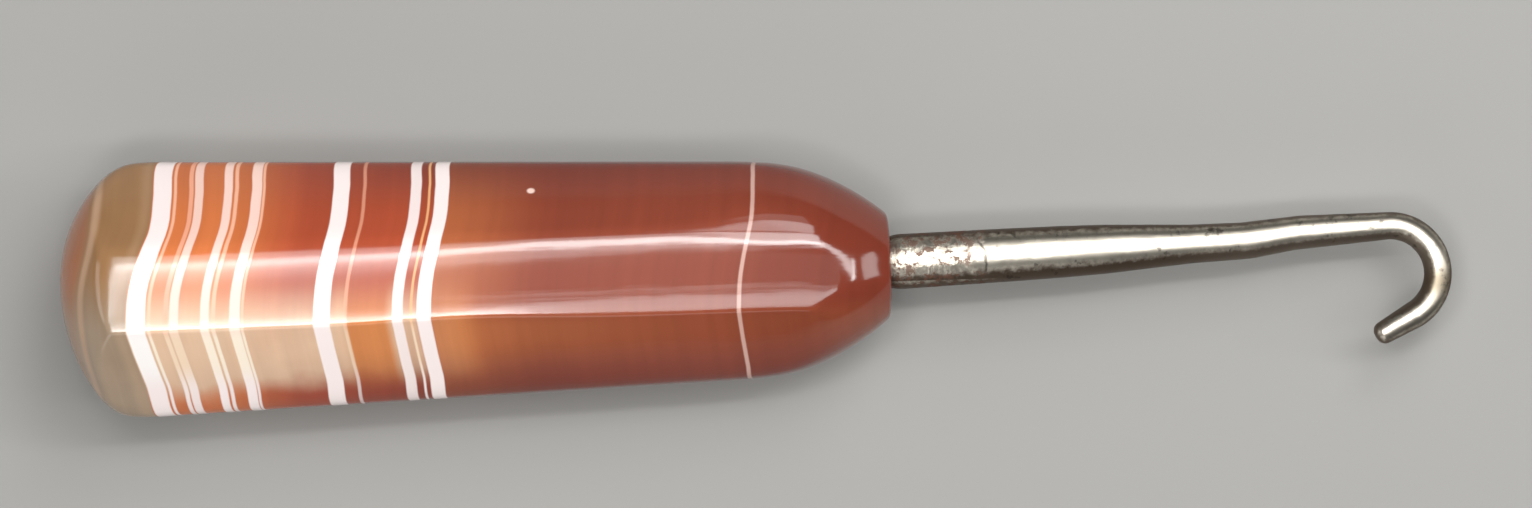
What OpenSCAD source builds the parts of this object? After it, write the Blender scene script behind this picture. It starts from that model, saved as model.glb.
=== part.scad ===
// Button hook. A tapered, nickel-plated steel hook is cemented into the drilled nose of a polished agate handle.
// The handle is turned round and then ground to eight flats. It rests on its lowest flat, with the hook level
// and its point turned towards -Y. Lengths are in millimetres.

/* [Handle] */
// Length of the handle from the butt to the mouth
handle_len = 50.3; // [42:0.1:65]
// Radius of the domed butt
dome_r = 9.1; // [8.4:0.1:14]
// Radius of the shoulder between the dome and the side of the handle
shoulder_r = 5; // [2:0.1:6]
// Distance from the butt at which the butt sizes are taken
butt_run = 8; // [6:0.1:12]
// Width across the two side flats at the butt
butt_w = 15.4; // [14:0.1:16]
// Thickness across the top and bottom flats at the butt
butt_t = 13.3; // [12:0.1:14.5]
// Size across the sloping flats at the butt
butt_slope = 12.7; // [11.8:0.1:14]
// Diameter of the round blank at the butt
butt_round = 15.5; // [14.4:0.1:16]

/* [Nose] */
// Length over which the handle closes to the mouth
nose_len = 9.6; // [7:0.1:14]
// Width across the two side flats where the nose begins
nose_w = 13.4; // [11.6:0.1:13.6]
// Thickness across the top and bottom flats where the nose begins
nose_t = 11.5; // [10.5:0.1:12]
// Size across the sloping flats where the nose begins
nose_slope = 11.8; // [10.8:0.1:12.6]
// Diameter of the round blank where the nose begins
nose_round = 13.6; // [11.8:0.1:13.8]
// Diameter of the flat face at the mouth
mouth_face_d = 5.3; // [4.6:0.1:7]
// Radius of the rounded edge of the mouth
mouth_edge = 0.6; // [0.3:0.1:1]

/* [Socket] */
// Depth of the drilled hole
socket_depth = 20; // [12:0.5:30]
// Thickness of the cement between the tang and the hole
cement_wall = 0.3; // [0.15:0.05:0.7]
// Thickness of the cement under the end of the tang
cement_base = 1; // [0.5:0.1:3]
// Depth of the cement below the mouth
cement_recess = 0.3; // [0.1:0.05:0.8]
// Angle of the hole out of line with the handle
socket_lean = 1.6; // [0:0.1:3]
// Distance of the hole from the centre of the mouth
socket_shift = 0.2; // [0:0.05:0.5]

/* [Tang] */
// Number of filed grooves that key the tang
groove_count = 4; // [0:1:4]
// Distance between grooves
groove_pitch = 2.5; // [1.6:0.1:2.7]
// Width of a groove
groove_w = 0.9; // [0.4:0.1:1.4]
// Depth of a groove
groove_depth = 0.3; // [0.1:0.05:0.6]

/* [Shank] */
// Diameter of the shank at the handle
shank_d = 3.1; // [2.6:0.1:3.5]
// Length of the straight part of the shank
shank_len = 10.6; // [6:0.1:20]
// Length over which the shank narrows to the neck
taper_len = 7.8; // [5:0.1:14]
// Diameter of the neck
neck_d = 2.3; // [2.2:0.05:2.6]
// Length of the neck
neck_len = 3; // [1.5:0.1:8]

/* [Double bend] */
// Angle of the first bend
jog_rise = 5.5; // [1:0.1:12]
// Angle of the second bend, back towards the handle's line
jog_fall = 4.6; // [1:0.1:12]
// Centreline radius of both bends
jog_r = 8; // [5:0.5:16]
// Diameter of the wire in the first bend
jog_d = 2.2; // [2.1:0.05:2.3]
// Length of the straight wire between the bends
jog_len = 2.4; // [1:0.1:5]
// Diameter of the wire in the second bend
crook_d = 2.05; // [1.75:0.05:2.2]
// Length of the straight wire that leads into the hook
crook_len = 5.2; // [3:0.1:12]

/* [Hook] */
// Diameter of the wire in the hook
wire_d = 1.67; // [1.2:0.01:2]
// Centreline radius of the hook
hook_r = 2.9; // [2:0.1:4]
// Angle through which the hook turns
hook_turn = 154; // [120:1:175]
// Length of the straight point
tip_len = 2.7; // [1.5:0.1:4]
// Diameter of the wire at the point
tip_d = 1.4; // [1:0.05:1.65]
// Radius of the rounded edge at the point
tip_round = 0.4; // [0.1:0.05:0.5]

/* [Hidden] */
$fn = 96;
// Amount by which a cutting shape runs past the surface that it cuts
over = 1;
// Length by which straight wire runs on into a bend, and how much thicker the bend is around it
lap = 0.2;
lap_wall = 0.01;
// Angle by which an arc of the blank runs on under the next one, and how far it stands proud where they meet
lead = 20;
proud = 0.01;
butt_x = butt_run - handle_len;
nose_x = -nose_len;
// Half-angle at which the round blank tapers
blank_taper = atan((butt_round - nose_round) / 2 / (nose_x - butt_x));
// Angle of the lowest flat to the handle's axis
tilt = atan((butt_t - nose_t) / 2 / (nose_x - butt_x));
lift = half_size(0, butt_t, nose_t) * cos(tilt);

// Centre of the dome, as radius and distance along the axis
dome_c = [0, dome_r - handle_len];
// The shoulder touches the dome from inside and the side of the blank
shoulder_slope = -tan(blank_taper);
shoulder_base = half_size(dome_c[1], butt_round, nose_round) - shoulder_r / cos(blank_taper);
shoulder_a = 1 + pow(shoulder_slope, 2);
shoulder_b = shoulder_base * shoulder_slope;
shoulder_c = pow(shoulder_base, 2) - pow(dome_r - shoulder_r, 2);
shoulder_step = (-shoulder_b - sqrt(pow(shoulder_b, 2) - shoulder_a * shoulder_c)) / shoulder_a;
shoulder_centre = [shoulder_base + shoulder_slope * shoulder_step, dome_c[1] + shoulder_step];
dome_end = atan2(shoulder_centre[0], shoulder_step);
side_angle = 90 - blank_taper;

// The nose arc leaves the side of the blank smoothly and runs smoothly into the edge of the mouth
mouth_c = [mouth_face_d / 2, -mouth_edge];
nose_start = [nose_round / 2, nose_x];
nose_in = [-sin(side_angle), -cos(side_angle)];
nose_span = nose_start - mouth_c;
nose_r = (pow(mouth_edge, 2) - nose_span * nose_span) / 2 / (nose_span * nose_in + mouth_edge);
nose_c = nose_start + nose_r * nose_in;
nose_end = atan2(mouth_c[0] - nose_c[0], mouth_c[1] - nose_c[1]);

socket_d = shank_d + 2 * cement_wall;
tang_len = socket_depth - cement_base;

// Headings of the wire, and how far the hook reaches from the mouth
jog_heading = socket_lean + jog_rise;
crook_heading = jog_heading - jog_fall;
straight_x = (shank_len + taper_len + neck_len) * cos(socket_lean);
jog_x = jog_r * (2 * sin(jog_heading) - sin(socket_lean) - sin(crook_heading)) + jog_len * cos(jog_heading);
crook_x = crook_len * cos(crook_heading) + hook_r * sin(crook_heading);
reach = straight_x + jog_x + crook_x + hook_r + wire_d / 2;
centre_shift = (handle_len - reach) / 2 * cos(tilt);

// Half of a size that changes evenly from the butt to the nose, at a distance along the axis
function half_size(x, at_butt, at_nose) =
    (at_butt + (at_nose - at_butt) * (x - butt_x) / (nose_x - butt_x)) / 2;

// Point on an arc of the blank; the angle is measured from the handle's axis
function on_arc(c, r, a) = c + r * [sin(a), cos(a)];

// Piece between an arc of the blank and its chord, reaching a little way in under the chord
module bulge(c, r, from, to) {
    intersection() {
        translate(c) circle(r);
        polygon([
            on_arc(c, r - lap, from),
            on_arc(c, 2 * r, from),
            on_arc(c, 2 * r, (from + to) / 2),
            on_arc(c, 2 * r, to),
            on_arc(c, r - lap, to)
        ]);
    }
}

// Half of the blank's outline, as radius and distance along the axis
module blank_outline() {
    intersection() {
        translate([0, -handle_len - over]) square([butt_round, handle_len + over]);
        union() {
            polygon([
                [0, -handle_len],
                on_arc(dome_c, dome_r, dome_end),
                on_arc(shoulder_centre, shoulder_r, side_angle),
                nose_start,
                on_arc(mouth_c, mouth_edge, nose_end),
                [mouth_face_d / 2, 0],
                [0, 0]
            ]);
            bulge(dome_c, dome_r, 180, dome_end);
            bulge(shoulder_centre, shoulder_r + proud, dome_end + lead, side_angle - lead);
            bulge(nose_c, nose_r + proud, side_angle + lead, nose_end);
            bulge(mouth_c, mouth_edge + 2 * proud, nose_end + lead, -lead);
        }
    }
}

// Turns a shape that stands on Z to lie along X
module lay() {
    rotate([0, 90, 0]) children();
}

module blank() {
    lay() rotate_extrude() blank_outline();
}

// Everything between two opposite flats, with their faces up and down
module flat_pair(at_butt, at_nose) {
    back_x = -handle_len - over;
    front_x = over;
    back = half_size(back_x, at_butt, at_nose);
    front = half_size(front_x, at_butt, at_nose);
    rotate([90, 0, 0])
        linear_extrude(height = 2 * butt_round, center = true)
            polygon([[back_x, -back], [front_x, -front], [front_x, front], [back_x, back]]);
}

// Moves a piece from the handle's own axis to where the handle rests on its lowest flat
module rest() {
    translate([centre_shift, 0, lift]) rotate([0, tilt, 0]) children();
}

// Moves a piece to the centreline of the drilled hole, with the mouth at zero
module on_socket() {
    translate([0, socket_shift, 0]) rotate([0, 0, socket_lean]) children();
}

module tang() {
    lay() difference() {
        translate([0, 0, -tang_len]) cylinder(h = tang_len, d = shank_d);
        if (groove_count > 0)
            for (i = [1 : groove_count])
                translate([0, 0, -tang_len + i * groove_pitch])
                    rotate_extrude()
                        translate([shank_d / 2 - groove_depth, -groove_w / 2])
                            square([groove_depth + over, groove_w]);
    }
}

// Straight wire along X through pairs of a distance and a diameter
module wire(stations) {
    lay() rotate_extrude()
        polygon(concat(
            [[0, stations[0][0]]],
            [for (s = stations) [s[1] / 2, s[0]]],
            [[0, stations[len(stations) - 1][0]]]
        ));
}

// Straight wire between two bends; what follows starts at its end
module run(length, from_d, to_d) {
    wire([[-lap, from_d], [0, from_d], [length, to_d], [length + lap, to_d]]);
    translate([length, 0, 0]) children();
}

// Wire bent in the level plane, to the left for a positive angle; what follows starts at its end
module bend(r, angle, d) {
    side = sign(angle);
    translate([0, side * r, 0]) {
        rotate([0, 0, side > 0 ? -90 : 90 + angle])
            rotate_extrude(angle = abs(angle))
                translate([r, 0])
                    circle(d = d + 2 * lap_wall);
        rotate([0, 0, angle]) translate([0, -side * r, 0]) children();
    }
}

// Shank from the mouth to the first bend; what follows starts at its end
module shank() {
    taper_end = shank_len + taper_len;
    neck_end = taper_end + neck_len;
    wire([[0, shank_d], [shank_len, shank_d], [taper_end, neck_d], [neck_end, jog_d], [neck_end + lap, jog_d]]);
    translate([neck_end, 0, 0]) children();
}

module tip() {
    body_len = tip_len - tip_round;
    flat_r = tip_d / 2 - tip_round;
    lay() rotate_extrude() {
        polygon([[0, -lap], [wire_d / 2, -lap], [wire_d / 2, 0], [tip_d / 2, body_len], [0, body_len]]);
        translate([0, body_len]) square([flat_r, tip_round]);
        translate([flat_r, body_len]) intersection() {
            circle(tip_round);
            square(tip_round);
        }
    }
}

module agate_handle() {
    color([0.55, 0.28, 0.2])
        rest()
            difference() {
                intersection() {
                    blank();
                    flat_pair(butt_t, nose_t);
                    rotate([90, 0, 0]) flat_pair(butt_w, nose_w);
                    rotate([45, 0, 0]) flat_pair(butt_slope, nose_slope);
                    rotate([-45, 0, 0]) flat_pair(butt_slope, nose_slope);
                }
                on_socket() lay()
                    translate([0, 0, -socket_depth]) cylinder(h = socket_depth + over, d = socket_d);
            }
}

module steel_hook() {
    color([0.78, 0.76, 0.71])
        rest()
            on_socket() {
                tang();
                shank()
                    bend(jog_r, jog_rise, jog_d)
                        run(jog_len, jog_d, crook_d)
                            bend(jog_r, -jog_fall, crook_d)
                                run(crook_len, crook_d, wire_d)
                                    bend(hook_r, -hook_turn, wire_d)
                                        tip();
            }
}

module socket_cement() {
    color([0.2, 0.13, 0.09])
        rest()
            on_socket()
                difference() {
                    lay() translate([0, 0, -socket_depth])
                        cylinder(h = socket_depth - cement_recess, d = socket_d);
                    tang();
                }
}

agate_handle();
steel_hook();
socket_cement();
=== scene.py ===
# %% [markdown]
# # A button hook with a banded agate handle
#
# A button hook pulls small buttons through stiff leather or glove seams. This one has three pieces: a
# handle of polished agate, a tapered steel hook plated with nickel, and the cement that holds the hook in
# the drilled nose of the stone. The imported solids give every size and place, so each piece below is made
# where its solid is.

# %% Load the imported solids
import math

import bpy
import numpy as np
from mathutils import Euler, Matrix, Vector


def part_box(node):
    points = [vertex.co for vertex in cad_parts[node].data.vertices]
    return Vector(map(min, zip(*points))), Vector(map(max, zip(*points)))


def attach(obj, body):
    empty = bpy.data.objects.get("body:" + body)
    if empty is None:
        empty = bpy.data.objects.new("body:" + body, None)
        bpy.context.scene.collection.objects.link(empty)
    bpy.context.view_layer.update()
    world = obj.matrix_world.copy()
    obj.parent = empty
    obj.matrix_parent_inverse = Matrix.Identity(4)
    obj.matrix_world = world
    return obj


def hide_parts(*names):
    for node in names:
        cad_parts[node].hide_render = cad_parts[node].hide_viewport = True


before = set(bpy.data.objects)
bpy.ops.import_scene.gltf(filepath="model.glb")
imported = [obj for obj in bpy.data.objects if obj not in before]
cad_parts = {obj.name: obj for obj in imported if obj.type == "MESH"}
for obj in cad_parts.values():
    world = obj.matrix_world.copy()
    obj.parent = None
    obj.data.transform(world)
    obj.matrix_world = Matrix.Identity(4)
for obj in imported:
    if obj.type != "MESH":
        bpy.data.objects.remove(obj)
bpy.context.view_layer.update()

# %% [markdown]
# The stone is easiest to shape on its own axis, as it is on the grinder's bench: X runs along the handle,
# from the butt towards the hook, and zero is the mouth where the steel goes in. Sizes are in millimetres
# and are those of the solids. The widths across the flats come in pairs, at the butt and at the nose. The
# finished piece is then laid down on its lowest flat.

# %% Sizes on the bench
MM = 0.001
HANDLE_LEN = 50.3
DOME_R = 9.1
DOME_X = DOME_R - HANDLE_LEN
BUTT_RUN = 8
BUTT_X = BUTT_RUN - HANDLE_LEN
NOSE_X = -9.6
FLATS_TOP = (13.3, 11.5)
FLATS_SIDE = (15.4, 13.4)
FLATS_SLOPE = (12.7, 11.8)


def half_size(x, at_butt, at_nose):
    """Half of a size that changes evenly from the butt to the nose."""
    return (at_butt + (at_nose - at_butt) * (x - BUTT_X) / (NOSE_X - BUTT_X)) / 2


TILT = math.atan((FLATS_TOP[0] - FLATS_TOP[1]) / 2 / (NOSE_X - BUTT_X))
LIFT = half_size(0, *FLATS_TOP) * math.cos(TILT)
BUTT_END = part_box("agate_handle")[0].x / MM
SHIFT = BUTT_END + DOME_R - DOME_X * math.cos(TILT)


def lay_down(piece):
    """Moves a finished piece from the bench to its place at rest, and puts that place into its mesh."""
    bpy.ops.object.mode_set(mode="OBJECT")
    piece.rotation_euler = (0, TILT, 0)
    piece.location = (SHIFT * MM, 0, LIFT * MM)
    bpy.ops.object.transform_apply(location=True, rotation=True, scale=True)


print("tilt", round(math.degrees(TILT), 3), "mouth at", round(SHIFT, 3), round(LIFT, 3))

# %% [markdown]
# ## The handle
#
# The real handle was ground round first, like a blank on a lathe, and then held against a flat wheel eight
# times. Spinning half of its outline gives the blank. The outline goes along the butt's dome, its shoulder,
# the straight side, the nose, the rounded lip of the mouth and the drilled hole.

# %% Sizes and arcs of the turned blank
BLANK = (15.8, 13.8)
SHOULDER_R = 5
MOUTH_FACE_R = 2.9
LIP_R = 0.5
HOLE_R = 1.85
HOLE_DEPTH = 20
HOLE_CHAMFER = 0.12

side_taper = math.atan((BLANK[0] - BLANK[1]) / 2 / (NOSE_X - BUTT_X))
side_angle = 90 - math.degrees(side_taper)


def arc(centre, radius, start, end, steps):
    """Points of an arc, as places along the axis and distances from it. Angles are from the axis."""
    angles = np.radians(np.linspace(start, end, steps + 1))
    return [(centre[0] + radius * math.cos(a), centre[1] + radius * math.sin(a)) for a in angles]


print("side of the blank leans", round(math.degrees(side_taper), 2), "degrees")

# %% [markdown]
# Each arc runs smoothly into the next line. The shoulder touches the dome from inside and the straight side
# from below, so its centre lies on a line beside that side, at a known distance from the dome's centre,
# which makes a quadratic equation. The nose leaves the straight side smoothly and runs into the lip.

# %% Outline of the turned blank
ARC_STEPS = 44
LIP_STEPS = 10
SIDE_POINTS = 72

shoulder_base = half_size(DOME_X, *BLANK) - SHOULDER_R / math.cos(side_taper)
side_grade = -math.tan(side_taper)
square = 1 + side_grade ** 2
half_linear = shoulder_base * side_grade
constant = shoulder_base ** 2 - (DOME_R - SHOULDER_R) ** 2
shoulder_step = (-half_linear - math.sqrt(half_linear ** 2 - square * constant)) / square
shoulder = (DOME_X + shoulder_step, shoulder_base + side_grade * shoulder_step)
dome_end = math.degrees(math.atan2(shoulder[1], shoulder_step))

lip = np.array([-LIP_R, MOUTH_FACE_R])
nose_start = np.array([NOSE_X, BLANK[1] / 2])
inward = -np.array([math.sin(side_taper), math.cos(side_taper)])
span = nose_start - lip
nose_r = (LIP_R ** 2 - span @ span) / 2 / (span @ inward + LIP_R)
nose = nose_start + nose_r * inward
nose_end = math.degrees(math.atan2(lip[1] - nose[1], lip[0] - nose[0]))

outline = arc((DOME_X, 0), DOME_R, 180, dome_end, ARC_STEPS)
outline += arc(shoulder, SHOULDER_R, dome_end, side_angle, ARC_STEPS)[1:]
outline += [tuple(point) for point in np.linspace(outline[-1], nose_start, SIDE_POINTS)[1:]]
outline += arc(nose, nose_r, side_angle, nose_end, ARC_STEPS)[1:]
outline += arc(lip, LIP_R, nose_end, 0, LIP_STEPS)[1:-1]
outline += [(0, MOUTH_FACE_R), (0, HOLE_R + HOLE_CHAMFER), (-HOLE_CHAMFER, HOLE_R)]
outline += [(-HOLE_DEPTH, HOLE_R), (-HOLE_DEPTH, 0)]
print("outline points:", len(outline), "nose radius", round(float(nose_r), 2))

# %% [markdown]
# A spin needs a line to turn. The line starts as a small plane that is merged into one point, because a
# point can be extruded again and again, from each place on the outline to the next. A curve object would
# also do, but points keep the arcs exactly where the arithmetic puts them. The spin goes all the way round
# the handle's axis, and merging the doubles closes its seam and its two poles.

# %% Draw the outline and spin it
BLANK_SIDES = 384
WELD = MM / 10000


def draw_line(name, points):
    """A line made by extruding one point again and again, left open in edit mode."""
    bpy.ops.object.select_all(action="DESELECT")
    bpy.ops.mesh.primitive_plane_add(size=MM, enter_editmode=True)
    bpy.context.object.name = name
    bpy.ops.mesh.merge(type="CENTER")
    bpy.ops.transform.translate(value=(points[0][0] * MM, 0, points[0][1] * MM))
    for before, after in zip(points, points[1:]):
        step = ((after[0] - before[0]) * MM, 0, (after[1] - before[1]) * MM)
        bpy.ops.mesh.extrude_region_move(TRANSFORM_OT_translate={"value": step})
    return bpy.context.object


handle = draw_line("agate_handle_polished", outline)
bpy.ops.mesh.select_all(action="SELECT")
bpy.ops.mesh.spin(
    steps=BLANK_SIDES, angle=math.tau, center=(0, 0, 0), axis=(1, 0, 0), use_auto_merge=True)
bpy.ops.mesh.select_all(action="SELECT")
bpy.ops.mesh.remove_doubles(threshold=WELD)
bpy.ops.mesh.normals_make_consistent(inside=False)
bpy.ops.object.mode_set(mode="OBJECT")
print("blank:", len(handle.data.polygons), "faces")

# %% [markdown]
# The ridges between the flats aren't alike. The one along the front of the top flat is still crisp, and the
# others have been rubbed round by handling, most of all at the back, just before the nose. Angles go round
# the handle from its back side, so 90 degrees is straight up.

# %% How soft each ridge is
CRISP_RIDGE = 112
BACK_RIDGE = 66
RIDGE_SPREAD = 16
SOFT = 0.22
CRISPER = 0.19
BACK_CRISPER = 0.05
BACK_CRISPER_FORWARD = 0.08
BACK_CHANGES = (-30, -20)
WORN_SOFTER = 0.2
WORN_X = -7.5
WORN_LEN = 3.5


def rise(value, low, high):
    """Goes smoothly from 0 to 1 as a value passes from low to high."""
    t = np.clip((value - low) / (high - low), 0, 1)
    return t * t * (3 - 2 * t)


def worn_nose(x):
    """1 where handling has worn the back ridge most, just before the nose."""
    return np.exp(-((x - WORN_X) / WORN_LEN) ** 2)


def ridge_softness(x, angle):
    """How wide the ridges are rounded, in millimetres."""
    crisp = np.exp(-((angle - CRISP_RIDGE) / RIDGE_SPREAD) ** 2)
    back = np.exp(-((angle - BACK_RIDGE) / RIDGE_SPREAD) ** 2)
    back_crisper = BACK_CRISPER + BACK_CRISPER_FORWARD * rise(x, *BACK_CHANGES)
    return SOFT - CRISPER * crisp + (WORN_SOFTER * worn_nose(x) - back_crisper) * back


print("softness of the back ridge at the nose:", ridge_softness(NOSE_X, BACK_RIDGE).round(2), "mm")

# %% [markdown]
# Grinding a flat takes away all that stands beyond a plane. A bisect would cut each flat dead sharp, and a
# bevel can't follow ridges whose softness changes along the stone. So here every point of the blank slides
# in along its own ray from the axis until it meets the nearest flat. The wheel and the polishing lap also
# leave each flat a little crowned, and that crown is what draws the long highlights on the stone.

# %% Distance to one flat
NOSE_EASE = 0.2
LEAST_FACING = 0.2
CROWN_REACH = 4
FAR = 1000


def flat_reach(start_x, ray, facing, sizes, crown_r, crown_y, limit, dip):
    """Distance along each ray to one flat, which is crowned across its middle and follows the nose."""
    turn = math.radians(facing)
    across = ray[:, 1] * math.cos(turn) + ray[:, 2] * math.sin(turn)
    along_flat = ray[:, 2] * math.cos(turn) - ray[:, 1] * math.sin(turn)
    grade = (sizes[1] - sizes[0]) / 2 / (NOSE_X - BUTT_X)
    closing = across - grade * ray[:, 0]
    depth = half_size(start_x, *sizes) - dip
    eased = depth - NOSE_EASE * np.logaddexp(0, (depth - limit) / NOSE_EASE)
    depth = np.where(limit < 2 * depth, eased, depth)
    reach = depth / np.maximum(closing, 1 / FAR)
    off_middle = np.clip(reach * along_flat - crown_y, -CROWN_REACH, CROWN_REACH)
    crowned = reach - off_middle ** 2 / (2 * crown_r * np.maximum(closing, LEAST_FACING))
    return np.where(closing > LEAST_FACING, crowned, FAR)


print("a flat eases into the nose over", NOSE_EASE, "mm")

# %% [markdown]
# The eight flats differ a little. The front slope tapers more than the others and has a shallow dip, and
# the back slope stands a little proud where its ridge is worn. The slopes run out before the mouth. The top
# flat's crown lies towards the back at the butt and comes nearer to the middle at the nose.

# %% Distances to all eight flats
FLAT_COUNT = 8
TOP_FLAT = 90
FRONT_FLAT = 135
BACK_FLAT = 45
FLATS_FRONT = (13.0, 11.5)
PLAIN_CROWN = 60
TOP_CROWN = 24
TOP_CROWN_Y = 0.55
TOP_CROWN_DRIFT = 0.45
TOP_CROWN_DRIFTS = (-44, -12)
FRONT_DIP = 0.15
DIP_X = -25
DIP_LEN = 6
BACK_RISE = 0.3
NOSE_EASES_FROM = -14
NOSE_CUT = 0.37
TOP_ENDS = (-7, -1)
SLOPES_RUN_OUT = 0.67
SLOPES_END = (-12, -6)


def flat_sizes(facing):
    """Widths across the flats, at the butt and at the nose, of the flat that faces an angle."""
    if facing == FRONT_FLAT:
        return FLATS_FRONT
    if facing % 90:
        return FLATS_SLOPE
    return FLATS_TOP if facing % 180 else FLATS_SIDE


def flat_reaches(start_x, ray, blank_reach):
    """Distances along each ray to the blank and to each flat."""
    top_limit = blank_reach - NOSE_CUT * (1 - rise(start_x, *TOP_ENDS))
    slope_limit = blank_reach - NOSE_CUT + SLOPES_RUN_OUT * rise(start_x, *SLOPES_END)
    top_crown_y = TOP_CROWN_Y - TOP_CROWN_DRIFT * rise(start_x, *TOP_CROWN_DRIFTS)
    front_dip = FRONT_DIP * np.exp(-((start_x - DIP_X) / DIP_LEN) ** 2)
    dips = {FRONT_FLAT: front_dip, BACK_FLAT: -BACK_RISE * worn_nose(start_x)}
    reaches = [blank_reach]
    for facing in range(0, 360, 360 // FLAT_COUNT):
        sizes = flat_sizes(facing)
        crown_r = TOP_CROWN if facing == TOP_FLAT else PLAIN_CROWN
        crown_y = top_crown_y if facing == TOP_FLAT else 0
        nose_limit = slope_limit if facing % 90 else top_limit
        limit = np.where((start_x > NOSE_EASES_FROM) & (facing % 180 > 0), nose_limit, FAR)
        dip = dips.get(facing, 0)
        reaches.append(flat_reach(start_x, ray, facing, sizes, crown_r, crown_y, limit, dip))
    return reaches


print("front slope across the flats:", FLATS_FRONT, "other slopes:", FLATS_SLOPE)

# %% [markdown]
# Before the cut, the butt gets its hand-made shape: the real one is a little flatter in its middle than a
# true dome, and fuller at its corners, most of all at the front. The points are also crowded round the
# stone towards the ridges, where the shape turns fastest.

# %% Press the butt and crowd the points
BUTT_FLATTEN = 0.33
BACK_FULLER = 0.045
FRONT_FULLER = 0.0019
BUTT_SHAPE_ENDS = (-47, -41)
FIRST_RIDGE = math.radians(67.5)
CROWDING = 0.65


def press_butt(shell):
    """Flattens the middle of the butt's dome and fills out its corners."""
    to_back = np.maximum(shell[:, 1], 0)
    to_front = np.maximum(-shell[:, 1], 0)
    pressed = BUTT_FLATTEN - BACK_FULLER * to_back - FRONT_FULLER * to_front ** 3
    shell[:, 0] += pressed * (1 - rise(shell[:, 0], *BUTT_SHAPE_ENDS))


def crowd_at_ridges(shell):
    """Moves the points round the stone towards the ridges."""
    around = np.arctan2(shell[:, 2], shell[:, 1])
    around -= CROWDING / FLAT_COUNT * np.sin(FLAT_COUNT * (around - FIRST_RIDGE))
    radius = np.hypot(shell[:, 1], shell[:, 2])
    shell[:, 1] = radius * np.cos(around)
    shell[:, 2] = radius * np.sin(around)


print("butt is pressed in by", BUTT_FLATTEN, "mm in its middle")

# %% [markdown]
# The rays start on the handle's axis, and those of the butt at the centre of its dome. Each point ends at a
# soft minimum of all the distances along its ray: the nearest flat counts most, and where two are about
# equally near, the ridge between them comes out round. The hole isn't touched.

# %% Grind the eight flats
SLACK = 0.01


def grind(piece):
    """Slides the points of the blank in to the flats, and gives the depth of the deepest cut."""
    places = np.empty(len(piece.data.vertices) * 3)
    piece.data.vertices.foreach_get("co", places)
    points = places.reshape(-1, 3) / MM
    outer = (np.hypot(points[:, 1], points[:, 2]) > MOUTH_FACE_R - SLACK) | (points[:, 0] < DOME_X)
    shell = points[outer]
    press_butt(shell)
    crowd_at_ridges(shell)
    start = np.zeros_like(shell)
    start[:, 0] = np.maximum(shell[:, 0], DOME_X)
    ray = shell - start
    blank_reach = np.linalg.norm(ray, axis=1)
    ray /= blank_reach[:, None]
    reaches = flat_reaches(start[:, 0], ray, blank_reach)
    angle = np.degrees(np.arctan2(ray[:, 2], ray[:, 1])) % 360
    soft = ridge_softness(start[:, 0], angle)
    nearest = np.min(reaches, axis=0)
    ground = nearest - soft * np.log(sum(np.exp((nearest - reach) / soft) for reach in reaches))
    points[outer] = start + ray * ground[:, None]
    piece.data.vertices.foreach_set("co", (points * MM).ravel())
    piece.data.update()
    return float((blank_reach - ground).max())


print("deepest cut of the flats:", round(grind(handle), 2), "mm")

# %% [markdown]
# The hole was drilled a little out of line with the stone. Its loops are selected by their place, and moved
# and leaned together.

# %% Lean the drilled hole and lay the handle down
HOLE_SHIFT = 0.2
HOLE_LEAN = math.radians(1.6)
SMOOTH_BELOW = math.radians(35)


def select_points(piece, wanted):
    """Selects the vertices whose place, in millimetres, passes a test, and goes to edit mode."""
    bpy.ops.object.mode_set(mode="EDIT")
    bpy.ops.mesh.select_all(action="DESELECT")
    bpy.ops.mesh.select_mode(type="VERT")
    bpy.ops.object.mode_set(mode="OBJECT")
    for vertex in piece.data.vertices:
        vertex.select = bool(wanted(vertex.co / MM))
    bpy.ops.object.mode_set(mode="EDIT")


rim_r = HOLE_R + HOLE_CHAMFER + SLACK
select_points(handle, lambda p: p.x > -HOLE_DEPTH - SLACK and math.hypot(p.y, p.z) < rim_r)
bpy.ops.transform.translate(value=(0, HOLE_SHIFT * MM, 0))
bpy.ops.transform.rotate(value=-HOLE_LEAN, orient_axis="Z", center_override=(0, HOLE_SHIFT * MM, 0))
lay_down(handle)
bpy.ops.object.shade_smooth_by_angle(angle=SMOOTH_BELOW)
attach(handle, "root")
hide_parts("agate_handle")
print("handle:", len(handle.data.vertices), "points")

# %% [markdown]
# ## The hook
#
# The hook is one steel rod, filed to a taper and bent cold. It is drawn here the same way: a circle is
# extruded along each straight run and resized to the next diameter, and spun around the centre of each
# bend. With no window, Blender's rotate turns the other way, so the helper passes the angle negated.

# %% Drawing helpers for the wire
WIRE_SIDES = 64


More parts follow.
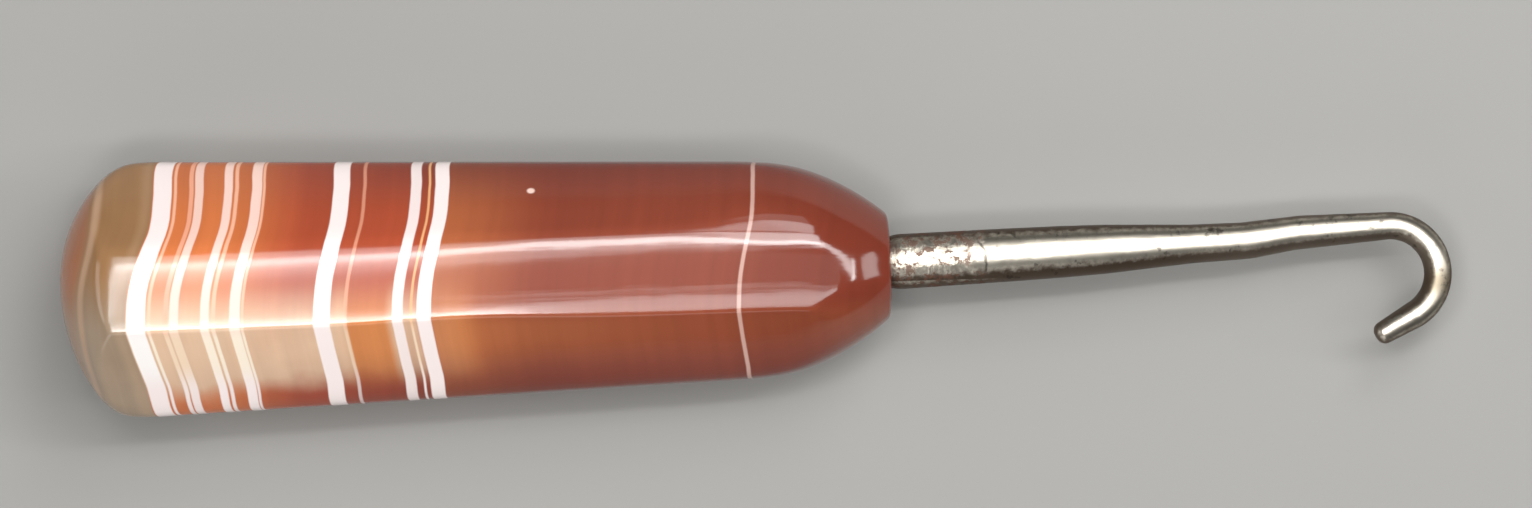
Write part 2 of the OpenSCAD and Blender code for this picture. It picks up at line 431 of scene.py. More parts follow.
class Wire:
    """A round wire whose open end is drawn out and bent in the level plane, from its tang to its point."""

    def __init__(self, name, place, heading, diameter):
        self.place = np.array([place[0], place[1], 0.0])
        self.heading = heading
        self.diameter = diameter
        bpy.ops.object.select_all(action="DESELECT")
        bpy.ops.mesh.primitive_circle_add(
            vertices=WIRE_SIDES, radius=diameter / 2 * MM, enter_editmode=True)
        self.piece = bpy.context.object
        self.piece.name = name
        self.turn_end(math.pi / 2, "Y", (0, 0, 0))
        self.turn_end(heading, "Z", (0, 0, 0))
        bpy.ops.transform.translate(value=self.place * MM)

    def turn_end(self, angle, axis, centre):
        """Turns what is selected, anticlockwise as seen from the axis's positive end."""
        bpy.ops.transform.rotate(value=-angle, orient_axis=axis, center_override=centre)

    def draw(self, length, diameter, rings=1):
        """Draws the end out straight, with an even taper to a diameter."""
        step = np.array([math.cos(self.heading), math.sin(self.heading), 0]) * length / rings
        start = self.diameter
        for ring in range(1, rings + 1):
            bpy.ops.mesh.extrude_region_move(TRANSFORM_OT_translate={"value": step * MM})
            self.place = self.place + step
            now = start + (diameter - start) * ring / rings
            share = now / self.diameter
            bpy.ops.transform.resize(value=(share, share, share), center_override=self.place * MM)
            self.diameter = now

    def bend(self, radius, degrees, steps):
        """Bends the end round a centre, to the left for a positive angle."""
        angle = math.radians(degrees)
        hand = math.copysign(1, angle)
        left = np.array([-math.sin(self.heading), math.cos(self.heading), 0])
        centre = self.place + hand * radius * left
        bpy.ops.mesh.spin(steps=steps, angle=-angle, center=centre * MM, axis=(0, 0, 1))
        self.heading += angle
        left = np.array([-math.sin(self.heading), math.cos(self.heading), 0])
        self.place = centre - hand * radius * left


print("wire sides:", WIRE_SIDES)

# %% [markdown]
# The tang comes first, deep in the stone. Four filed grooves key it into the cement. A groove is drawn like
# any other run: the end is resized on the spot, drawn out and resized back.

# %% Draw the tang
TANG_LEN = 19
TANG_D = 3.1
TANG_RINGS = 30
GROOVE_COUNT = 4
GROOVE_PITCH = 2.5
GROOVE_W = 0.9
GROOVE_DEPTH = 0.3
GROOVE_D = TANG_D - 2 * GROOVE_DEPTH

hole_line = np.array([math.cos(HOLE_LEAN), math.sin(HOLE_LEAN)])
tang_start = np.array([0, HOLE_SHIFT]) - TANG_LEN * hole_line
wire = Wire("steel_hook_forged", tang_start, HOLE_LEAN, TANG_D)
wire.draw(GROOVE_PITCH - GROOVE_W / 2, TANG_D)
for groove in range(GROOVE_COUNT):
    wire.draw(0, GROOVE_D)
    wire.draw(GROOVE_W, GROOVE_D)
    wire.draw(0, TANG_D)
    wire.draw(GROOVE_PITCH - GROOVE_W, TANG_D)
wire.draw(TANG_LEN - (GROOVE_COUNT + 1) * GROOVE_PITCH + GROOVE_W / 2, TANG_D, TANG_RINGS)
print("tang ends at", wire.place.round(2))

# %% [markdown]
# The shank leaves the mouth, swells a little where the file stopped, and narrows to the neck. Each of its
# runs has a length, the diameter that it ends with and a number of rings. Past a double bend the wire curls
# round into the hook and ends in a blunt point, which can't catch in cloth. Rounding the point takes a few
# short draws, each a little thinner than the last.

# %% Draw the shank, the hook and its point
SHANK_RUNS = [
    (0.6, 3.34, 6),
    (2.4, 3.3, 24),
    (4, 3.24, 30),
    (3.6, 3.14, 20),
    (2.6, 2.98, 10),
    (5.2, 2.36, 20),
    (3, 2.24, 12),
]
JOG_R = 8
JOG_RISE = 5.5
JOG_FALL = 4.6
JOG_LEN = 2.4
JOG_D = 2.05
JOG_STEPS = 4
JOG_RINGS = 10
CROOK_LEN = 5.2
CROOK_D = 1.67
CROOK_RINGS = 20
HOOK_R = 2.9
HOOK_TURN = 154
HOOK_STEPS = 60
TIP_LEN = 2.7
TIP_D = 1.4
TIP_RINGS = 10
TIP_ROUND = 0.55
TIP_STEPS = 6

for length, diameter, rings in SHANK_RUNS:
    wire.draw(length, diameter, rings)
wire.bend(JOG_R, JOG_RISE, JOG_STEPS)
wire.draw(JOG_LEN, JOG_D, JOG_RINGS)
wire.bend(JOG_R, -JOG_FALL, JOG_STEPS)
wire.draw(CROOK_LEN, CROOK_D, CROOK_RINGS)
wire.bend(HOOK_R, -HOOK_TURN, HOOK_STEPS)
wire.draw(TIP_LEN - TIP_ROUND, TIP_D, TIP_RINGS)
corner = np.linspace(0, math.pi / 2, TIP_STEPS + 1)
for before, after in zip(corner, corner[1:]):
    length = TIP_ROUND * (math.sin(after) - math.sin(before))
    wire.draw(length, TIP_D - 2 * TIP_ROUND * (1 - math.cos(after)))
print("point at", wire.place.round(2), "heading", round(math.degrees(wire.heading), 1))

# %% [markdown]
# Both open ends are filled, and the normals are recalculated, because a spin can turn a shape inside out.

# %% Close the wire and lay it down
hook = wire.piece
bpy.ops.mesh.select_all(action="SELECT")
bpy.ops.mesh.fill_holes(sides=0)
bpy.ops.mesh.select_all(action="SELECT")
bpy.ops.mesh.normals_make_consistent(inside=False)
lay_down(hook)
bpy.ops.object.shade_smooth_by_angle(angle=SMOOTH_BELOW)
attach(hook, "root")
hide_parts("steel_hook")
print("hook:", len(hook.data.vertices), "points")

# %% [markdown]
# ## Finishes
#
# Each finish is a graph of shader nodes. Written as plain arithmetic it reads better, so a small class wraps
# one socket: an operator between two of them adds a Math node, and any other node comes from one method.

# %% A socket that can be used in arithmetic


class Flow:
    """A number, vector or colour on its way through one finish's nodes."""

    def __init__(self, tree, socket):
        self.tree = tree
        self.socket = socket

    def node(self, kind, settings, sockets, output=0):
        """Adds a node: its settings first, then the values or links of its sockets."""
        made = self.tree.nodes.new(kind)
        for name, value in settings.items():
            setattr(made, name, value)
        for name, value in sockets.items():
            if isinstance(value, Flow):
                self.tree.links.new(value.socket, made.inputs[name])
            else:
                made.inputs[name].default_value = value
        return Flow(self.tree, made.outputs[output])

    def math(self, operation, first, second=0.0):
        return self.node("ShaderNodeMath", {"operation": operation}, {0: first, 1: second})

    def __add__(self, other):
        return self.math("ADD", self, other)

    def __radd__(self, other):
        return self.math("ADD", other, self)

    def __sub__(self, other):
        return self.math("SUBTRACT", self, other)

    def __rsub__(self, other):
        return self.math("SUBTRACT", other, self)

    def __mul__(self, other):
        return self.math("MULTIPLY", self, other)

    def __rmul__(self, other):
        return self.math("MULTIPLY", other, self)

    def __truediv__(self, other):
        return self.math("DIVIDE", self, other)

    def __abs__(self):
        return self.math("ABSOLUTE", self)

    def rises(self, low, high):
        """Goes smoothly from 0 to 1 as this value passes from low to high."""
        kind = {"interpolation_type": "SMOOTHSTEP"}
        return self.node("ShaderNodeMapRange", kind, {0: self, 1: low, 2: high})

    def between(self, start, end, edge):
        """1 where this value lies between start and end, with soft edges."""
        return self.rises(start - edge, start + edge) - self.rises(end - edge, end + edge)

    def bell(self, middle, width):
        """A soft hump around a middle value."""
        off = (self - middle) / width
        return self.math("EXPONENT", off * off * -1)

    def spread(self, start, end):
        """A number that goes evenly from start to end as this value goes from 0 to 1."""
        return start + (end - start) * self

    def mix(self, under, over):
        """One colour over another, with this value as the share of the upper one."""
        return self.node("ShaderNodeMix", {"data_type": "RGBA"}, {0: self, 6: under, 7: over}, output=2)

    def noise(self, scale, detail=2.0, roughness=0.5):
        """Smooth random variation from 0 to 1, at this place."""
        sockets = {"Vector": self, "Scale": scale, "Detail": detail, "Roughness": roughness}
        return self.node("ShaderNodeTexNoise", {}, sockets)

    def scaled(self, factor):
        """A colour or vector made stronger or weaker."""
        return self.node("ShaderNodeVectorMath", {"operation": "SCALE"}, {0: self, "Scale": factor})

    def distance(self, spot):
        """How far this place is from a spot."""
        return self.node("ShaderNodeVectorMath", {"operation": "DISTANCE"}, {0: self, 1: spot}, output=1)

    def bump(self, depth):
        """Small hollows and rises for the shader, as deep as this value times a depth in millimetres."""
        return self.node("ShaderNodeBump", {}, {"Height": self, "Distance": depth * MM})

    def part(self, axis):
        """One of the three numbers of a vector."""
        return self.node("ShaderNodeSeparateXYZ", {}, {0: self}, output="XYZ".index(axis))

    def joined(self, x, y, z=0.0):
        """A vector of three numbers."""
        return self.node("ShaderNodeCombineXYZ", {}, {0: x, 1: y, 2: z})


print("a socket can be added, multiplied and mixed")

# %% [markdown]
# Every finish starts in the same way, from a plain shader and the place on the piece. Colours are written as
# a screen shows them, and a shader takes linear values, so one helper turns the first into the second. The
# bench is handy here too: bands and tarnish follow the handle's axis, and not the floor.

# %% Starting a finish


def new_finish(name):
    """An empty finish: its material, its shader and the place on the piece in millimetres."""
    material = bpy.data.materials.new(name)
    material.use_nodes = True
    tree = material.node_tree
    shader = tree.nodes["Principled BSDF"]
    coordinates = tree.nodes.new("ShaderNodeTexCoord")
    place = Flow(tree, coordinates.outputs["Object"])
    return material, shader, place.scaled(1 / MM)


def feed(shader, **sockets):
    """Links values to the shader's sockets by their names."""
    for name, value in sockets.items():
        value.tree.links.new(value.socket, shader.inputs[name.replace("_", " ")])


def dress(piece, material):
    """Gives a piece one finish all over."""
    piece.data.materials.clear()
    piece.data.materials.append(material)


def srgb(red, green, blue):
    """A colour as a screen shows it, from 0 to 255, as the linear values that a shader takes."""
    def linear(value):
        value = value / 255
        return value / 12.92 if value <= 0.04045 else ((value + 0.055) / 1.055) ** 2.4
    return (linear(red), linear(green), linear(blue), 1)


def on_bench(place):
    """Place along the handle from its mouth, sideways and above the axis, in millimetres."""
    x, y, z = (place.part(axis) for axis in "XYZ")
    bench_x = (x - SHIFT) * math.cos(TILT) - (z - LIFT) * math.sin(TILT)
    bench_z = (x - SHIFT) * math.sin(TILT) + (z - LIFT) * math.cos(TILT)
    return bench_x, y, bench_z


print("middle grey on a screen is", round(srgb(128, 128, 128)[0], 3), "to a shader")

# %% [markdown]
# ### Agate
#
# Agate grows in layers, so its bands are surfaces that go right through the stone, and each flat cuts them
# at its own slant. The finish therefore works out how deep in the stack of layers each point lies: its
# distance from the butt, plus a lean with height, less a swell across the stone. Every band is then a
# stretch of that one depth. The layers settle down near the butt. Here and below, a pair of values is where
# a change begins and ends, or what a number is before and after it.

# %% Agate: depth in the layers
SETTLES = (6, 15)
LEAN = (0.28, 0.2)
LEAN_HEIGHT = 6.6
SWELL = (0.95, 0.6)
SWELL_Y = 3.3
SWELL_W = 2.6
SLANT = (0.025, 0.045)
SLANT_Y = 7.4
WANDER = 0.1
WANDER_SCALE = 0.35
EDGE_TURN = 0.25
EDGE_TURNS = (5.6, 7.6)
FINE_LAYERS = 1.4
ALONG_LAYERS = 0.05

agate, agate_shader, place = new_finish("banded_agate")
x, y, height = on_bench(place)
along = x + HANDLE_LEN
off_axis = abs(y)
settle = along.rises(*SETTLES)
lean = settle.spread(*LEAN) * (height - LEAN_HEIGHT)
swell = settle.spread(*SWELL) * y.bell(SWELL_Y, SWELL_W) + settle.spread(*SLANT) * (y + SLANT_Y)
wander = (place.noise(WANDER_SCALE, 3.0) - 0.5) * WANDER
depth = along + lean - swell + wander + EDGE_TURN * off_axis.rises(*EDGE_TURNS)
layers = place.joined(depth * FINE_LAYERS, y * ALONG_LAYERS, height * ALONG_LAYERS).noise(1, 3.0)
print("layers follow", agate.name)

# %% [markdown]
# The stone was stained by iron, so the plain layers go from orange through red-brown to a dark brown at the
# nose. Each one is given with the depths between which it takes over from the last.

# %% Agate: colours of the plain layers
ORANGE_BROWN = srgb(208, 117, 68)
RED_BROWN = srgb(170, 77, 51)
TAWNY = srgb(172, 95, 60)
CHESTNUT = srgb(136, 66, 48)
NOSE_BROWN = srgb(118, 52, 37)
PLAIN_LAYERS = [
    (9, 14.5, RED_BROWN),
    (21.6, 22.6, TAWNY),
    (22.4, 29, CHESTNUT),
    (37, 47, NOSE_BROWN),
]

colour = ORANGE_BROWN
for start, end, tone in PLAIN_LAYERS:
    colour = depth.rises(start, end).mix(colour, tone)
print("plain layers:", 1 + len(PLAIN_LAYERS))

# %% [markdown]
# Along the front the stain is weaker, and the same layers show as amber and sand. Low on the front it comes
# back along a ragged edge. A coarse noise clouds the sand, because an even tone would look painted.

# %% Agate: paler front
SAND = srgb(222, 187, 157)
AMBER = srgb(208, 132, 80)
CLOUD_SCALE = 0.3
STAIN_RAGGED = 1.2
STAIN_LATE = 0.6
STAIN_SETTLES = (8, 13)
STAIN_STARTS = (5.6, 7.2)
FRONT_STARTS = (-0.6, 2.8)
AMBER_LAYER = (16.8, 20.3, 0.4)
FAINT_AMBER_LAYER = (22.5, 24.6, 1)
FAINT_AMBER_SHARE = 0.6
SAND_ENDS = (17.3, 17.6)
SAND_LAYER = (19.9, 21.7, 0.3)
SAND_LAYER_SHARE = 0.85
LAST_SAND_STARTS = (22.3, 22.5)
LAST_SAND_ENDS = (22.4, 25)
LAST_SAND_SHARE = 0.12
SAND_CLOUDED = (1.28, 0.68)

cloud = place.noise(CLOUD_SCALE, 3.0)
forward = y * -1
stain = forward + cloud * STAIN_RAGGED - STAIN_LATE * (1 - depth.rises(*STAIN_SETTLES))
stained = stain.rises(*STAIN_STARTS)
front = forward.rises(*FRONT_STARTS) * (1 - stained)
amber = depth.between(*AMBER_LAYER) + depth.between(*FAINT_AMBER_LAYER) * FAINT_AMBER_SHARE
colour = (front * amber).mix(colour, AMBER)
sandy = 1 - depth.rises(*SAND_ENDS) + depth.between(*SAND_LAYER) * SAND_LAYER_SHARE
sandy = sandy + (depth.rises(*LAST_SAND_STARTS) - depth.rises(*LAST_SAND_ENDS)) * LAST_SAND_SHARE
colour = (front * sandy * cloud.spread(*SAND_CLOUDED)).mix(colour, SAND)
print("nodes so far:", len(agate.node_tree.nodes))

# %% [markdown]
# Towards the sides of the stone the colour is deepened to a dark red: painted shade, standing in for the
# darker look of clear stone towards its edges. Along the crisp front ridge an amber glow is painted in. The
# finest layers then make all these colours a little lighter or darker.

# %% Agate: painted amber glow on the ridge and painted shade on the sides
SIDE_SHADE_RED = srgb(98, 26, 12)
RIDGE_STARTS = (1.5, 3)
RIDGE_ENDS = (3.2, 6.5)
RIDGE_LAYERS = (22.2, 22.8)
RIDGE_FADES = (24, 40)
RIDGE_GLOW_SHARE = (0.3, 0.08)
SIDES_START = (3.6, 7.1)
SIDES_DEEPEN = (9, 24)
SIDES_SHARE = (0.2, 0.7)
LAYER_TONES = (0.88, 1.16)

# Painted glow: an amber tone along the crisp front ridge.
ridge = forward.rises(*RIDGE_STARTS) * (1 - forward.rises(*RIDGE_ENDS)) * depth.rises(*RIDGE_LAYERS)
colour = (ridge * depth.rises(*RIDGE_FADES).spread(*RIDGE_GLOW_SHARE)).mix(colour, AMBER)
# Painted shade: the colour deepens to dark red towards the sides.
red_side_shade = off_axis.rises(*SIDES_START) * depth.rises(*SIDES_DEEPEN).spread(*SIDES_SHARE)
colour = red_side_shade.mix(colour, SIDE_SHADE_RED).scaled(layers.spread(*LAYER_TONES))
print("nodes so far:", len(agate.node_tree.nodes))

# %% [markdown]
# The butt is a smoky layer with a rusty skin at its very end and two pale lines. It is brown towards the
# back and grey towards the front.

# %% Agate: smoky butt
SMOKE = srgb(150, 112, 76)
GREY_SMOKE = srgb(160, 139, 117)
UMBER = srgb(172, 104, 62)
FAWN = srgb(192, 156, 126)
GREY_STARTS = (-1.5, 3)
SKIN_ENDS = (0.3, 1.2)
SKIN_FADES = (-1, 2)
SKIN_SHARE = (1, 0.3)
PALE_LINE = (1.1, 1.6, 0.2)
PALE_LINE_SHARE = 0.75
FAINT_LINE = (4.0, 4.6, 0.3)
FAINT_LINE_SHARE = 0.25
SMOKE_LAYER_TONES = (0.85, 1.15)
SMOKE_CLOUD_TONES = (0.88, 1.12)
SMOKE_ENDS = (4.58, 4.7)

smoke = forward.rises(*GREY_STARTS).mix(SMOKE, GREY_SMOKE)
skin = (1 - depth.rises(*SKIN_ENDS)) * forward.rises(*SKIN_FADES).spread(*SKIN_SHARE)
smoke = skin.mix(smoke, UMBER)
smoke = (depth.between(*PALE_LINE) * PALE_LINE_SHARE).mix(smoke, FAWN)
smoke = (depth.between(*FAINT_LINE) * FAINT_LINE_SHARE).mix(smoke, FAWN)
smoke = smoke.scaled(layers.spread(*SMOKE_LAYER_TONES) * cloud.spread(*SMOKE_CLOUD_TONES))
colour = (1 - depth.rises(*SMOKE_ENDS)).mix(colour, smoke)
print("nodes so far:", len(agate.node_tree.nodes))

# %% [markdown]
# Each pale band has its first and last depth, its tone where the stain is strong, its tone along the front
# and its strength. A band of two tones turns milky low on the front.

# %% Agate: pale bands
MILK = srgb(248, 234, 231)
SNOW = srgb(252, 247, 243)
CREAM = srgb(250, 236, 216)
ROSE = srgb(246, 210, 197)
PEACH = srgb(245, 186, 156)
CORAL = srgb(240, 170, 140)
HONEY = srgb(238, 176, 124)
BISCUIT = srgb(244, 218, 190)
BANDS = [
    (4.7, 5.78, MILK, SNOW, 1.0),
    (5.92, 6.1, PEACH, CREAM, 0.9),
    (6.84, 7.1, CORAL, BISCUIT, 0.9),
    (7.19, 7.7, ROSE, BISCUIT, 0.9),
    (8.96, 9.47, ROSE, CREAM, 1.0),
    (9.61, 9.84, PEACH, CREAM, 0.9),
    (10.65, 11.26, ROSE, CREAM, 1.0),
    (11.31, 11.47, PEACH, CREAM, 0.9),
    (15.53, 16.5, MILK, MILK, 1.0),
    (17.3, 17.5, CORAL, BISCUIT, 0.6),
    (20.15, 20.78, MILK, MILK, 0.9),
    (21.2, 21.34, HONEY, BISCUIT, 0.95),
    (21.6, 22.42, MILK, MILK, 1.0),
    (40.48, 40.72, ROSE, ROSE, 0.5),
]
BAND_EDGE = 0.05
FRONT_TONES_START = (1.8, 3.2)
MILKY_STARTS = (4.4, 6.2)

milky = forward.rises(*MILKY_STARTS)
front_slope = forward.rises(*FRONT_TONES_START) * (1 - stained)
for start, end, back_tone, front_tone, strength in BANDS:
    tone = back_tone
    if back_tone != front_tone:
        tone = milky.mix(front_slope.mix(back_tone, front_tone), MILK)
    colour = (depth.between(start, end, BAND_EDGE) * strength).mix(colour, tone)
print("agate bands:", len(BANDS))

# %% [markdown]
# A few pale specks lie in the brown layers, each with its place on the part, its radius and its strength.
# They are balls in the stone, and the surface cuts through them.

# %% Agate: specks
SPECKS = [
    ((-13.3, 5.22, 9.5), 0.26, 1.0),
    ((-11.2, 0.95, 12.4), 0.1, 0.5),
    ((-6.1, 0.6, 12.1), 0.1, 0.5),
]
SPECK_CORE = 0.6
SPECK_RIM = 1.2

for spot, radius, strength in SPECKS:
    speck = 1 - place.distance(spot).rises(radius * SPECK_CORE, radius * SPECK_RIM)
    colour = (speck * strength).mix(colour, ROSE)
print("agate specks:", len(SPECKS))

# %% [markdown]
# The polish is high but was given by hand, so the flats carry faint waves and drawn-out streaks. A very low
# bump breaks up the long highlights in the same way, which a smooth mirror finish can't do. The butt has
# been handled most and is a little duller.

# %% Agate: polish
BROAD_SCALE = 0.22
BROAD_HEIGHT = (0.3, 1.5)
BROAD_GROW = (20, 34)
FINE_SCALE = 1.3
FINE_HEIGHT = 0.12
STREAKS_ALONG = 0.07
STREAKS_ACROSS = 1.7
STREAK_HEIGHT = (0.08, 0.38)
STREAKS_GROW = (20, 30)
POLISH_DEPTH = 0.012
POLISH_ROUGH = (0.14, 0.08)
POLISH_CHANGES = (15, 30)
CLOUD_ROUGH = 0.02
AGATE_IOR = 1.54

streaks = place.joined(x * STREAKS_ALONG, y * STREAKS_ACROSS).noise(1, 2.0)
waves = place.noise(BROAD_SCALE, 2.0) * along.rises(*BROAD_GROW).spread(*BROAD_HEIGHT)
waves = waves + place.noise(FINE_SCALE, 2.0) * FINE_HEIGHT
waves = waves + streaks * along.rises(*STREAKS_GROW).spread(*STREAK_HEIGHT)
rough = along.rises(*POLISH_CHANGES).spread(*POLISH_ROUGH) + CLOUD_ROUGH * cloud
feed(agate_shader, Base_Color=colour, Roughness=rough, Normal=waves.bump(POLISH_DEPTH))
agate_shader.inputs["IOR"].default_value = AGATE_IOR
dress(handle, agate)
print("agate nodes in all:", len(agate.node_tree.nodes))

# %% [markdown]
# ### Nickel over steel
#
# The plating is still bright on top, where fingers and buttons rub it. Along the sides of the wire, and more
# so on its front side, which becomes the inside of the curl, the colour is darkened with brown tarnish and
# with painted shade, which stands in for the dark surroundings that the metal's flanks reflect. So the
# finish first works out how far each point lies above or below the wire's axis, and how far towards its
# front. On the curl, the distance from its centre tells the second.

# %% Nickel: which side of the wire
WIRE_R = 1.6
NECK_LOSS = 0.45
NECK_NARROWS = (9, 19)
CURL_LOSS = 0.32
CURL_NARROWS = (18, 31)
JOG_SHIFT = 0.35
JOG_SHIFTS = (21, 27)
CURL_CENTRE = (30.5, -1.46)
CURL_FROM_X = (30, 31)
CURL_BELOW_Y = (-1.6, -0.9)

nickel, nickel_shader, place = new_finish("worn_nickel_with_painted_shade")
x, y, height = on_bench(place)
wire_r = WIRE_R - NECK_LOSS * x.rises(*NECK_NARROWS) - CURL_LOSS * x.rises(*CURL_NARROWS)
level = abs(height) / wire_r
wire_axis = HOLE_SHIFT + math.tan(HOLE_LEAN) * x + JOG_SHIFT * x.rises(*JOG_SHIFTS)
off_centre = place.joined(x - CURL_CENTRE[0], y - CURL_CENTRE[1])
inside = HOOK_R - off_centre.distance((0, 0, 0))
on_curl = 1 - (1 - x.rises(*CURL_FROM_X)) * y.rises(*CURL_BELOW_Y)
front_side = (wire_axis - y + on_curl * (inside - wire_axis + y)) / wire_r
print("nodes so far:", len(nickel.node_tree.nodes))

# %% [markdown]
# The tarnish and painted shade start where the wire's surface turns away from the top, and noise makes their
# border ragged. A patch on the far end of the curl is rougher and darkened with painted shade, which dims
# its highlight, and there are small dark nicks all over.

# %% Nickel: bright top, sides darkened with tarnish and painted shade
NICKEL = srgb(212, 204, 189)
SHADED_NICKEL = srgb(128, 116, 95)
TARNISH_AND_SHADE = srgb(76, 58, 43)
SOOT = srgb(44, 34, 26)
MOTTLE_SCALE = 2.4
RAGGED = 0.6
FRONT_BROWNER = (0.3, 0.45)
FRONT_BROWNS = (11, 18)
FRONT_TURNS = (0, 0.8)
BRIGHT_STARTS = (0.45, 0.85)
TARNISH_AND_SHADE_SHARE = (0.92, 0.82)
TARNISH_AND_SHADE_FADES = (14, 24)
DULL_STARTS = (31.6, 33)
DULL_Y = -2.1
DULL_W = 1.1
CURL_SHADE_SHARE = 0.85
NICK_SCALE = 0.9
NICKS_START = (0.6, 0.68)
NICK_SHARE = 0.55

mottle = place.noise(MOTTLE_SCALE, 4.0, 0.62)
# Tarnish and painted shade: the sides, and the front side most, are darkened, standing in for the dark
# surroundings that the flanks reflect.
browner = x.rises(*FRONT_BROWNS).spread(*FRONT_BROWNER) * front_side.rises(*FRONT_TURNS)
top_reach = level - browner + (mottle - 0.5) * RAGGED
sides = 1 - top_reach.rises(*BRIGHT_STARTS)
# Painted shade: on the far end of the curl the colour is darkened, which dims the highlight there; the patch
# is also rougher.
dull_shaded_patch = x.rises(*DULL_STARTS) * y.bell(DULL_Y, DULL_W)
colour = (dull_shaded_patch * CURL_SHADE_SHARE).mix(NICKEL, SHADED_NICKEL)
colour = (sides * x.rises(*TARNISH_AND_SHADE_FADES).spread(*TARNISH_AND_SHADE_SHARE)).mix(colour, TARNISH_AND_SHADE)
nicks = place.noise(NICK_SCALE, 3.0, 0.7).rises(*NICKS_START)
colour = (nicks * NICK_SHARE).mix(colour, SOOT)
print("nodes so far:", len(nickel.node_tree.nodes))

# %% [markdown]
# Close to the stone the plating has flaked off, and the steel below is pitted with rust. The patch is a
# coarse grain with a blotchy border, so that it ends unevenly. One thin crack runs across the plating where
# the patch ends.

# %% Nickel: flaked patch beside the stone
RUST = srgb(98, 64, 48)
GRAIN_SCALE = 1.9
BLOTCH_SCALE = 0.8
BLOTCH_REACH = 5
PATCH_ENDS = (4.6, 6)
PITS_START = (0.5, 0.58)
PIT_SHARE = 0.85
CRACK = (5.75, 5.92, 0.06)
CRACK_RAGGED = 0.5
CRACK_BOW = 0.25
CRACK_TOP = (0.78, 0.9)
CRACK_SHARE = 0.7

grain = place.noise(GRAIN_SCALE, 4.0, 0.7)
blotch = place.noise(BLOTCH_SCALE, 2.0)
flaked = 1 - (x + (blotch - 0.5) * BLOTCH_REACH).rises(*PATCH_ENDS)
pits = flaked * grain.rises(*PITS_START)
colour = (pits * PIT_SHARE).mix(colour, RUST)
crack_x = x + (mottle - 0.5) * CRACK_RAGGED + y * y * CRACK_BOW
crack = crack_x.between(*CRACK) * level.rises(*CRACK_TOP)
colour = (crack * CRACK_SHARE).mix(colour, SOOT)
print("nodes so far:", len(nickel.node_tree.nodes))

# %% [markdown]
# Colour alone would make the rust look like paint. Where a pit opens, the surface also turns rougher and
# less metallic, and a bump lets it catch the light. The same bump gives the whole wire its shallow dents.

# %% Nickel: roughness and dents
NICKEL_ROUGH = 0.26
MOTTLE_ROUGH = 0.1
TARNISH_ROUGH = 0.18
PIT_ROUGH = 0.2
DULL_ROUGH = 0.12
PIT_METAL = 0.5
DENT_SCALE = 0.7
DENT_HEIGHT = 0.7
GRAIN_HEIGHT = 0.9
MOTTLE_HEIGHT = 0.12
DENT_DEPTH = 0.06

rough = NICKEL_ROUGH + MOTTLE_ROUGH * mottle + TARNISH_ROUGH * sides
rough = rough + PIT_ROUGH * pits + DULL_ROUGH * dull_shaded_patch
metal = pits.spread(1, PIT_METAL)
dents = place.noise(DENT_SCALE, 2.0) * DENT_HEIGHT
dents = dents + grain * flaked * GRAIN_HEIGHT + mottle * MOTTLE_HEIGHT
feed(nickel_shader, Base_Color=colour, Roughness=rough, Metallic=metal, Normal=dents.bump(DENT_DEPTH))
dress(hook, nickel)
print("nickel slots:", [slot.name for slot in hook.material_slots])

# %% [markdown]
# ### Cement
#
# Only a thin dark ring of cement shows at the mouth. Its solid keeps its shape and gets a grainy, dull
# finish.

# %% Cement
DARK_CEMENT = srgb(46, 32, 24)
PALE_CEMENT = srgb(104, 80, 60)
CEMENT_SCALE = 6
CEMENT_ROUGH = (0.7, 0.95)

cement, cement_shader, place = new_finish("dark_cement")
grains = place.noise(CEMENT_SCALE, 4.0, 0.7)
colour = grains.mix(DARK_CEMENT, PALE_CEMENT)
feed(cement_shader, Base_Color=colour, Roughness=grains.spread(*CEMENT_ROUGH))
cement_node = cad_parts["socket_cement"]
dress(cement_node, cement)
print("cement on", cement_node.name)

# %% [markdown]
# ## Stage
#
# The hook lies on a plain pale floor under a frame of soft lamps around the camera. The world adds only a
# trace of light, so that the lamps alone shape the highlights.

# %% Floor and surroundings
FLOOR_SIZE = 4
FLOOR_GREY = srgb(154, 153, 150)
FLOOR_ROUGH = 0.9
WORLD_LIGHT = 0.05

bpy.ops.object.select_all(action="DESELECT")
bpy.ops.mesh.primitive_plane_add(size=FLOOR_SIZE)
floor = bpy.context.object
floor.name = "floor"
floor_finish, floor_shader = new_finish("pale_floor")[:2]
floor_shader.inputs["Base Color"].default_value = FLOOR_GREY
floor_shader.inputs["Roughness"].default_value = FLOOR_ROUGH
dress(floor, floor_finish)

world = bpy.data.worlds.new("studio")
world.use_nodes = True
world.node_tree.nodes["Background"].inputs["Color"].default_value = (1, 1, 1, 1)
world.node_tree.nodes["Background"].inputs["Strength"].default_value = WORLD_LIGHT
bpy.context.scene.world = world
print("floor", floor.name, "and world", world.name)

# %% [markdown]
# The camera looks straight down from well above, so that the long handle shows hardly any perspective. Its
# height and the scale of the picture at the handle's axis give the length of the lens. A slight roll turns
# the handle as it lies in the frame.

# %% Camera
FRAME_W = 1532
PIXELS_PER_MM = 16.5
CAMERA_HEIGHT = 300
SENSOR = 36
CLIP_START = 10
VIEW_ROLL = math.radians(1.85)
VIEW_X = 0.635
VIEW_Y = 0.94

bpy.context.scene.view_settings.view_transform = "Standard"
camera_data = bpy.data.cameras.new("overhead")
camera_data.sensor_width = SENSOR
camera_data.lens = SENSOR * CAMERA_HEIGHT * PIXELS_PER_MM / FRAME_W
camera_data.clip_start = CLIP_START * MM
camera = bpy.data.objects.new("overhead", camera_data)
bpy.context.scene.collection.objects.link(camera)
camera.location = (VIEW_X * MM, VIEW_Y * MM, (LIFT + CAMERA_HEIGHT) * MM)
camera.rotation_euler = (0, 0, -VIEW_ROLL)
bpy.context.scene.camera = camera
print("lens", round(camera_data.lens, 1))

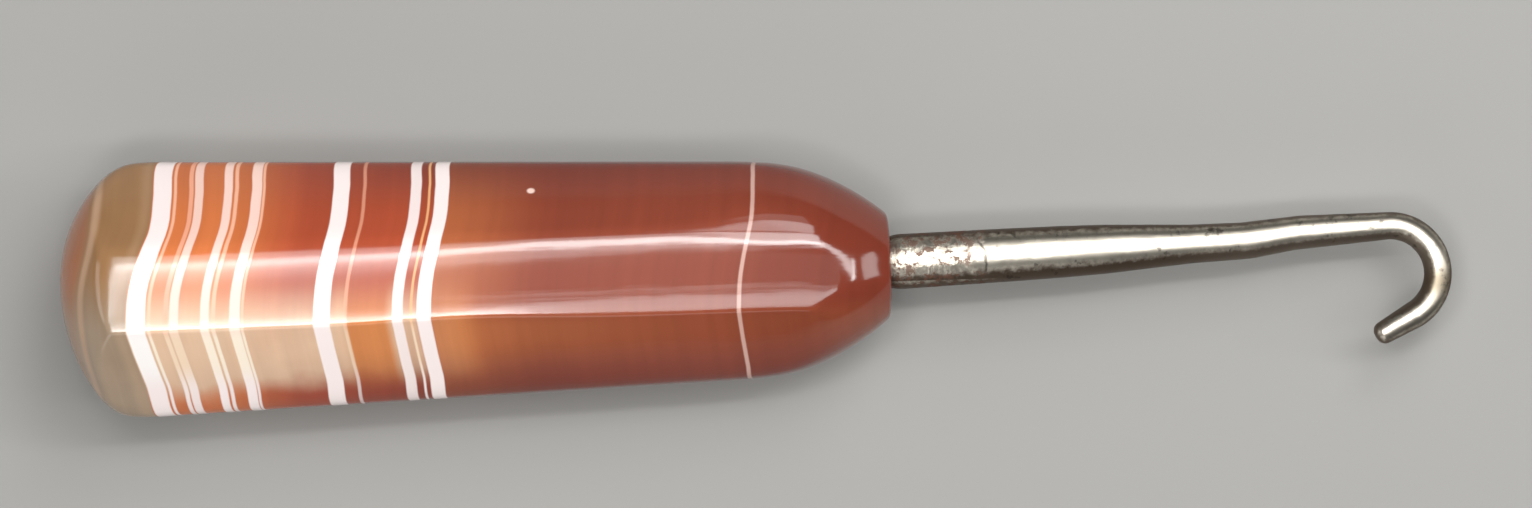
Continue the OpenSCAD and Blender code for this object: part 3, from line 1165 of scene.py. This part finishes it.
# %% [markdown]
# Polished stone shows its lamps: each long highlight on the handle is the reflection of one lamp. Small
# bright panels would give the same amount of light, but only long soft ones draw long soft lines. So every
# lamp here is a rectangle whose brightness is set, and its power follows from its size. Those that hang high
# face straight down, and the low ones lean towards the handle.

# %% A soft lamp
LAMP_TARGET = (-10, 0, 8)
LEVEL_LAMPS = 280
LAMP_WATTS = 4


def soft_lamp(name, centre, size, brightness, turn=0):
    """A rectangular lamp, in millimetres and degrees. Brightness is what a mirror would show."""
    data = bpy.data.lights.new(name, "AREA")
    data.shape = "RECTANGLE"
    data.size = size[0] * MM
    data.size_y = size[1] * MM
    data.energy = LAMP_WATTS * brightness * data.size * data.size_y
    lamp = bpy.data.objects.new(name, data)
    bpy.context.scene.collection.objects.link(lamp)
    lamp.location = [c * MM for c in centre]
    aim = np.array(LAMP_TARGET) - np.array(centre)
    lean = (math.atan2(aim[1], -aim[2]), math.atan2(-aim[0], math.hypot(aim[1], aim[2])), 0)
    facing = Euler(lean if centre[2] < LEVEL_LAMPS else (0, 0, 0)).to_matrix()
    lamp.rotation_euler = (facing @ Matrix.Rotation(math.radians(turn), 3, "Z")).to_euler()


print("low lamps aim at", LAMP_TARGET)

# %% [markdown]
# Over the butt half hang a bright front strip, a dim middle and a soft back strip. A panel with a brighter
# edge closes them off over the butt.

# %% Lamps over the butt half
soft_lamp("front_strip", (-31, -62, 285), (68, 34), 16)
soft_lamp("butt_middle", (-26, 5, 290), (40, 60), 1.7)
soft_lamp("butt_panel", (-61, 2, 290), (30, 72), 6.8)
soft_lamp("butt_panel_edge", (-80, 2, 289), (8, 78), 10)
soft_lamp("back_glow", (-36, 33, 286), (58, 20), 4, turn=9)
soft_lamp("back_strip", (-36, 54, 285), (58, 20), 17, turn=9)
soft_lamp("back_haze", (-38, 94, 287), (58, 60), 4, turn=6)
print("lamps so far:", len(bpy.data.lights))

# %% [markdown]
# Over the nose half it is the other way about: the bright strip is at the back. It runs on in a second
# strip, which closes the highlight round the nose, and panels behind them light the worn part of the back
# ridge.

# %% Lamps over the nose half
soft_lamp("nose_front", (146, -48, 285), (306, 32), 4.7)
soft_lamp("nose_front_glow", (146, -22, 286), (306, 5), 3.5)
soft_lamp("nose_middle", (162, 10, 290), (336, 48), 0.6)
soft_lamp("nose_back_glow", (8, 42, 286), (46, 20), 3.5, turn=16)
soft_lamp("nose_back_strip", (92, 63, 285), (200, 17), 13.5, turn=3)
soft_lamp("nose_back_haze", (11, 84, 287), (38, 34), 3, turn=4)
soft_lamp("nose_back_wide", (96, 88, 287), (140, 50), 6.8)
soft_lamp("nose_back_high", (76, 146, 235), (100, 92), 3.3, turn=-16)
soft_lamp("nose_back_end", (340, 40, 285), (340, 26), 8, turn=-11)
soft_lamp("nose_end", (500, 8, 285), (50, 44), 18)
soft_lamp("mouth_glint", (449, 14, 145), (84, 64), 3.6, turn=20)
print("lamps so far:", len(bpy.data.lights))

# %% [markdown]
# A panel at the back lights the wire, and two more fill the butt's end and the front.

# %% Lamps for the wire and the ends
soft_lamp("wire_back", (80, 200, 230), (90, 190), 0.9)
soft_lamp("butt_end", (-300, 0, 150), (160, 160), 1.6)
soft_lamp("front_fill", (-150, -330, 170), (420, 240), 0.9)
print("lamps in all:", len(bpy.data.lights))
